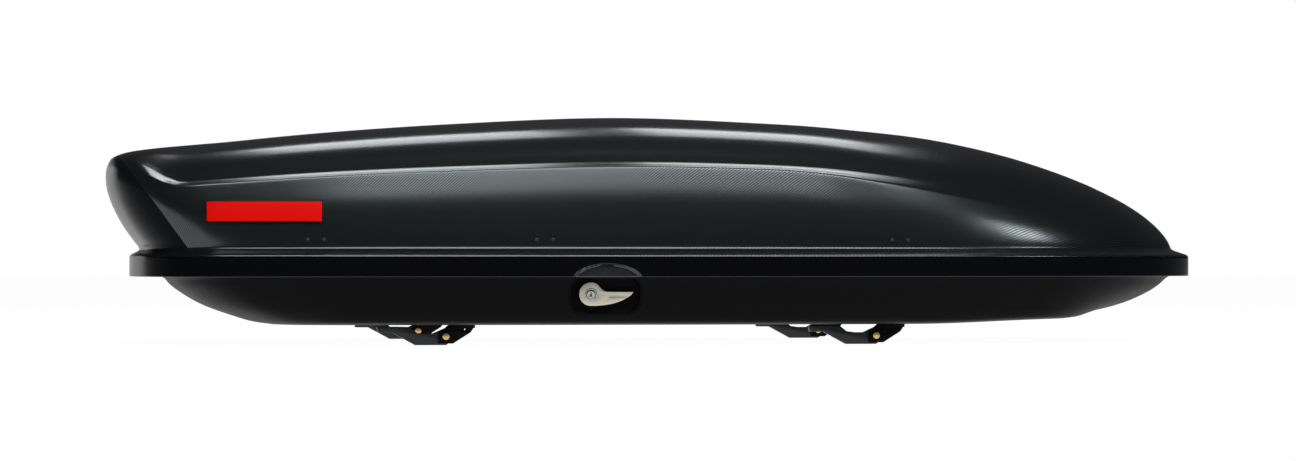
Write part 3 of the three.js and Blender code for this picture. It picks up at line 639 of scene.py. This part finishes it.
def build_base():
    rim_inner, rim_outer = inset_ring(RIM_INNER, RIM_TOP), inset_ring(RIM_OUTER, RIM_TOP)
    near_edge = mix(rim_inner, rim_outer, 0.9)
    flange = [rim_inner, near_edge] + bezier(near_edge, rim_outer, inset_ring(RIM_OUTER, RIM_EDGE), 3)[1:]
    hull = [base_ring(t) for t in HULL_ROWS]
    floor_x = np.maximum(stations.spine[:, 0], FLOOR_MIDDLE_REAR)
    floor_plan = np.column_stack([floor_x, np.zeros(len(floor_x))])
    middle = ring(floor_plan, FLOOR_Z + floor_lift(floor_x, FLOOR_Z))
    floor = [mix(hull[-1], middle, s) for s in FLOOR_SHARES]
    outer = np.array(flange + hull + floor)
    down = -grid_normals(outer)
    inner = outer - down * WALL
    rings = np.concatenate([outer, inner[::-1]])
    made = ring_mesh("base_shell_fine", rings, [looks["base_plastic"]], open_row=len(outer) - 1, angle=50)
    low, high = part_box("lever_cup_left")
    gap = POCKET_GAP
    outline = rounded_outline(low.x - gap, high.x + gap, low.z - gap, high.z + gap, POCKET_CORNER)
    for side in (-1, 1):
        tool = prism("pocket_tool", outline, side * POCKET_FROM, side * POCKET_TO)
        applied(made, boolean={"object": tool, "operation": "DIFFERENCE", "solver": "EXACT"})
        bpy.data.objects.remove(tool)
    soften(made.data, 50)
    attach(made, "base")
    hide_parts(*BASE_NODES)


build_base()


# The seal's section: inset from the rim and height.
SEAL_SECTION = [(21.6, 136.3), (21.9, 140), (23, 143.6), (26, 145.8), (29, 143.6), (30.1, 140), (30.4, 136.3)]


def build_seal():
    rings = np.array([inset_ring(inset, z) for inset, z in SEAL_SECTION])
    made = ring_mesh("rim_seal_fine", rings, [looks["seal_rubber"]])
    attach(made, "base")
    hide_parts("rim_seal")


build_seal()


# ---------- smaller pieces ----------
SIDES = (("right", -1), ("left", 1))
# Each kind of piece: its material slot, the width of its rounded edges, and, where it isn't the usual,
# their segments or the angle under which two faces become one.
EDGES = {
    "lid_bow": ("bow_aluminium", 0.0012, {}),
    "hinge_pin": ("pin_steel", 0.001, {}),
    "latch_housing": ("base_plastic", 0.0008, {}),
    "latch_shaft": ("dark_steel", 0.0006, {}),
    "lever_cup": ("base_plastic", 0.0009, {}),
    "lever_crank": ("pin_steel", 0.0006, {}),
    "release_lever": ("lever_metal", 0.0016, {"segments": 4}),
    "lock_cylinder": ("lock_chrome", 0.0005, {}),
    "clamp_bracket": ("base_plastic", 0.0009, {}),
    "clamp_claw": ("dark_steel", 0.0014, {"segments": 3}),
    "clamp_rivet": ("rivet_brass", 0.0009, {"segments": 3}),
    "clamp_knob": ("knob_plastic", 0.002, {"segments": 3}),
    "floor_rail": ("pin_steel", 0.0008, {}),
    "badge_plate": ("badge_black", 0.0009, {"dissolve": 0.2}),
    "badge_inlay": ("badge_red", 0.0006, {"dissolve": 0.2}),
}
for node in frame["nodes"]:
    for kind, (slot, width, settings) in EDGES.items():
        if node.startswith(kind):
            refined(node, slot, width, **settings)

# Small domed rivets, a pair above the flange at each bow.
RIVET_STEP, RIVET_HEIGHT = 14.5, 190.5
DOME = [
    (0, -0.0015), (0.0038, -0.0015), (0.0038, 0), (0.0034, 0.0008), (0.0024, 0.0016), (0.0012, 0.0021),
    (0, 0.0022),
]
for side_name, side in SIDES:
    for bow in ("rear", "middle", "front"):
        low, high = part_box(f"lid_bow_{bow}")
        for end, step in (("a", -RIVET_STEP), ("b", RIVET_STEP)):
            point, normal = on_wall((low.x + high.x) / 2 / MM + step, RIVET_HEIGHT, side)
            rivet = lathe(f"lid_rivet_{side_name}_{bow}_{end}", DOME, point, normal, looks["dark_steel"], 20)
            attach(rivet, "lid")

# A ring around each lock.
RING = [
    (0.0086, 0), (0.0086, 0.0009), (0.0092, 0.0014), (0.0102, 0.0014), (0.0108, 0.0009), (0.0108, 0),
    (0.0086, 0),
]
for side_name, side in SIDES:
    low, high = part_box(f"lock_cylinder_{side_name}")
    lever_low, lever_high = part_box(f"release_lever_{side_name}")
    face = lever_low.y if side < 0 else lever_high.y
    centre = Vector(((low.x + high.x) / 2, face, (low.z + high.z) / 2))
    trim = lathe(f"lock_ring_{side_name}", RING, centre, (0, side, 0), looks["lock_chrome"], 48)
    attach(trim, f"lever_{side_name}")


# ---------- floor, light and camera ----------
def plain(name, grey, glow):
    look = bpy.data.materials.new(name)
    look.use_nodes = True
    main = look.node_tree.nodes["Principled BSDF"]
    main.inputs["Base Color"].default_value = (grey, grey, grey, 1)
    main.inputs["Roughness"].default_value = 0.9
    main.inputs["Specular IOR Level"].default_value = 0.0
    main.inputs["Emission Color"].default_value = (1, 1, 1, 1)
    main.inputs["Emission Strength"].default_value = glow
    return look


ROOM_RADIUS, WALL_HEIGHT = 34.0, 3.2
SIDES_OF_ROOM = 96
pale = plain("pale_floor", 0.06, 0.975)
work = bmesh.new()
bmesh.ops.create_circle(work, cap_ends=True, radius=ROOM_RADIUS, segments=SIDES_OF_ROOM)
floor_mesh = bpy.data.meshes.new("floor")
work.to_mesh(floor_mesh)
work.free()
floor = new_object("floor", floor_mesh, [pale])
floor.location.z = -0.0002
turns = [math.radians(degrees) for degrees in range(62, 119)]
rim = [(ROOM_RADIUS * math.cos(a), ROOM_RADIUS * math.sin(a)) for a in turns]
count = len(rim)
wall_mesh = bpy.data.meshes.new("backdrop")
wall_mesh.from_pydata(
    [(x, y, -0.001) for x, y in rim] + [(x, y, WALL_HEIGHT) for x, y in rim], [],
    [(k, k + 1, count + k + 1, count + k) for k in range(count - 1)],
)
backdrop = new_object("backdrop", wall_mesh, [plain("backdrop_white", 0.05, 0.99)])

world = bpy.data.worlds.new("studio")
bpy.context.scene.world = world
world.use_nodes = True
background = world.node_tree.nodes["Background"]
background.inputs["Color"].default_value = (0.9, 0.96, 1.0, 1)
background.inputs["Strength"].default_value = 0.035


def softbox(name, place, target, size, radiance):
    """A rectangular area light of a given brightness, unseen by the camera."""
    data = bpy.data.lights.new(name, "AREA")
    data.shape = "RECTANGLE"
    data.size, data.size_y = size
    data.energy = radiance * math.pi * size[0] * size[1]
    lamp = bpy.data.objects.new(name, data)
    bpy.context.scene.collection.objects.link(lamp)
    lamp.location = place
    lamp.rotation_mode = "QUATERNION"
    lamp.rotation_quaternion = (Vector(target) - Vector(place)).to_track_quat("-Z", "Y")
    lamp.visible_camera = False


softbox("overhead_rear", (-0.50, 1.4, 3.2), (-0.50, 1.39, 0), (1.0, 2.0), 5.5)
softbox("overhead_front", (0.97, 1.4, 3.2), (0.97, 1.39, 0), (1.15, 2.0), 5.5)
softbox("front", (0, -2.7, 3.5), (0, 0, 0.2), (5.0, 1.4), 6.4)
softbox("side", (0.25, -2.9, 2.3), (0, -0.42, 0.28), (2.4, 0.8), 3.2)
softbox("nose_side", (2.25, -1.85, 1.42), (0.64, -0.37, 0.2), (0.36, 0.42), 12.0)

camera_data = bpy.data.cameras.new("camera")
camera = bpy.data.objects.new("camera", camera_data)
bpy.context.scene.collection.objects.link(camera)
AZIMUTH, DISTANCE, EYE_HEIGHT = math.radians(-8), 8, 0.158
camera.location = (DISTANCE * math.sin(AZIMUTH), -DISTANCE * math.cos(AZIMUTH), EYE_HEIGHT)
camera.rotation_euler = (math.pi / 2, 0, AZIMUTH)
camera_data.sensor_width = 36
camera_data.lens = 117.03
camera_data.shift_x = -0.0035
camera_data.shift_y = 0.0212
camera_data.clip_end = 200
bpy.context.scene.camera = camera
bpy.context.scene.view_settings.view_transform = "Standard"
